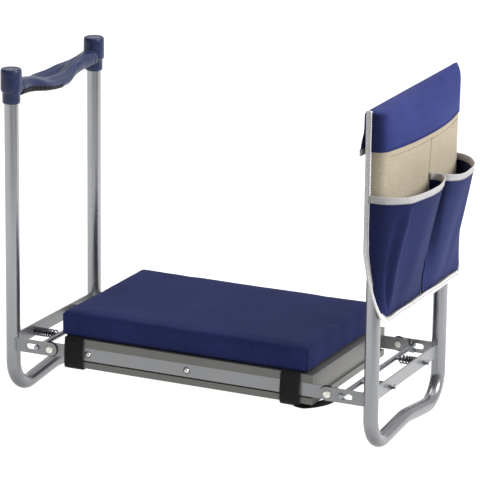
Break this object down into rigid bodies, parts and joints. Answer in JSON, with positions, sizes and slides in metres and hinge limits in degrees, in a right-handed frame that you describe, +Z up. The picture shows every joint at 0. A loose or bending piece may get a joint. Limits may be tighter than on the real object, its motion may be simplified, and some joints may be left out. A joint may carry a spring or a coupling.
{
  "type": "garden kneeler seat",
  "caption": "Folding garden kneeler and seat: padded tray between tubular leg frames with hand grips, sprung locks and a hanging tool bag.",
  "frame": {"origin": "on the floor, under the middle of the object's overall length and width, standing as a seat on its foot rails with the pad uppermost", "axes": "+X along the seat from the plain frame to the frame with the tool bag, +Y from front to back, +Z up"},
  "size_m": [0.682, 0.295, 0.514],
  "materials": {
    "leg_paint": "satin silver-grey paint",
    "bar_paint": "satin grey paint",
    "tray_paint": "satin warm grey paint",
    "handle_plastic": "navy moulded plastic, fine grain",
    "rivet_nickel": "nickel plate",
    "washer_plastic": "natural nylon",
    "lock_steel": "dark grey paint",
    "spring_steel": "oiled spring steel",
    "screw_chrome": "bright zinc plate",
    "pad_foam": "closed-cell foam",
    "pad_cloth": "navy woven polyester",
    "strap_webbing": "black hook-and-loop webbing",
    "bag_navy_cloth": "navy woven polyester",
    "bag_cream_cloth": "cream woven polyester",
    "bag_tape": "off-white woven tape"
  },
  "bodies": {
    "seat": {"hinge_bar_back": "bar_paint", "hinge_bar_front": "bar_paint", "left_strap": "strap_webbing", "pad_cover": "pad_cloth", "pad_foam": "pad_foam", "rail_nuts_back": "screw_chrome", "rail_nuts_front": "screw_chrome", "rail_screws_back": "screw_chrome", "rail_screws_front": "screw_chrome", "right_strap": "strap_webbing", "seat_panel": "tray_paint", "tray_rail_back": "tray_paint", "tray_rail_front": "tray_paint", "tray_rail_left": "tray_paint", "tray_rail_right": "tray_paint"},
    "left_leg": {"left_leg_tube": "leg_paint", "left_handle": "handle_plastic", "left_cross_bar": "bar_paint", "left_pivot_rivets": "rivet_nickel", "left_pivot_washers": "washer_plastic", "left_bracket_front": "bar_paint", "left_bracket_back": "bar_paint", "left_spring_front": "spring_steel", "left_spring_back": "spring_steel"},
    "right_leg": {"right_leg_tube": "leg_paint", "right_handle": "handle_plastic", "right_cross_bar": "bar_paint", "right_pivot_rivets": "rivet_nickel", "right_pivot_washers": "washer_plastic", "right_bracket_front": "bar_paint", "right_bracket_back": "bar_paint", "right_spring_front": "spring_steel", "right_spring_back": "spring_steel", "bag_edge_binding": "bag_tape", "bag_hood": "bag_navy_cloth", "bag_panel": "bag_cream_cloth", "bag_pocket_front": "bag_navy_cloth", "bag_pocket_rear": "bag_navy_cloth", "bag_rim_front": "bag_tape", "bag_rim_rear": "bag_tape"},
    "left_lock": {"left_lock_rod": "lock_steel", "left_guide_pin_front": "lock_steel", "left_guide_pin_back": "lock_steel", "left_cotter_pins": "spring_steel"},
    "right_lock": {"right_lock_rod": "lock_steel", "right_guide_pin_front": "lock_steel", "right_guide_pin_back": "lock_steel", "right_cotter_pins": "spring_steel"}
  },
  "joints": [
    {"name": "left_fold", "type": "hinge", "parent": "seat", "child": "left_leg", "pos_m": [-0.25577, 0, 0.0845], "axis": [0, 1, 0], "range_deg": [0, 87]},
    {"name": "right_fold", "type": "hinge", "parent": "seat", "child": "right_leg", "pos_m": [0.20303, 0, 0.0845], "axis": [0, -1, 0], "range_deg": [0, 48]},
    {"name": "left_lock_slide", "type": "slide", "parent": "left_leg", "child": "left_lock", "axis": [-1, 0, 0], "range_m": [0, 0.0135], "stiffness_N_per_m": 1500, "springref_m": -0.006, "deforming": ["left_spring_front", "left_spring_back"]},
    {"name": "right_lock_slide", "type": "slide", "parent": "right_leg", "child": "right_lock", "axis": [1, 0, 0], "range_m": [0, 0.0135], "stiffness_N_per_m": 1500, "springref_m": -0.006, "deforming": ["right_spring_front", "right_spring_back"]}
  ]
}
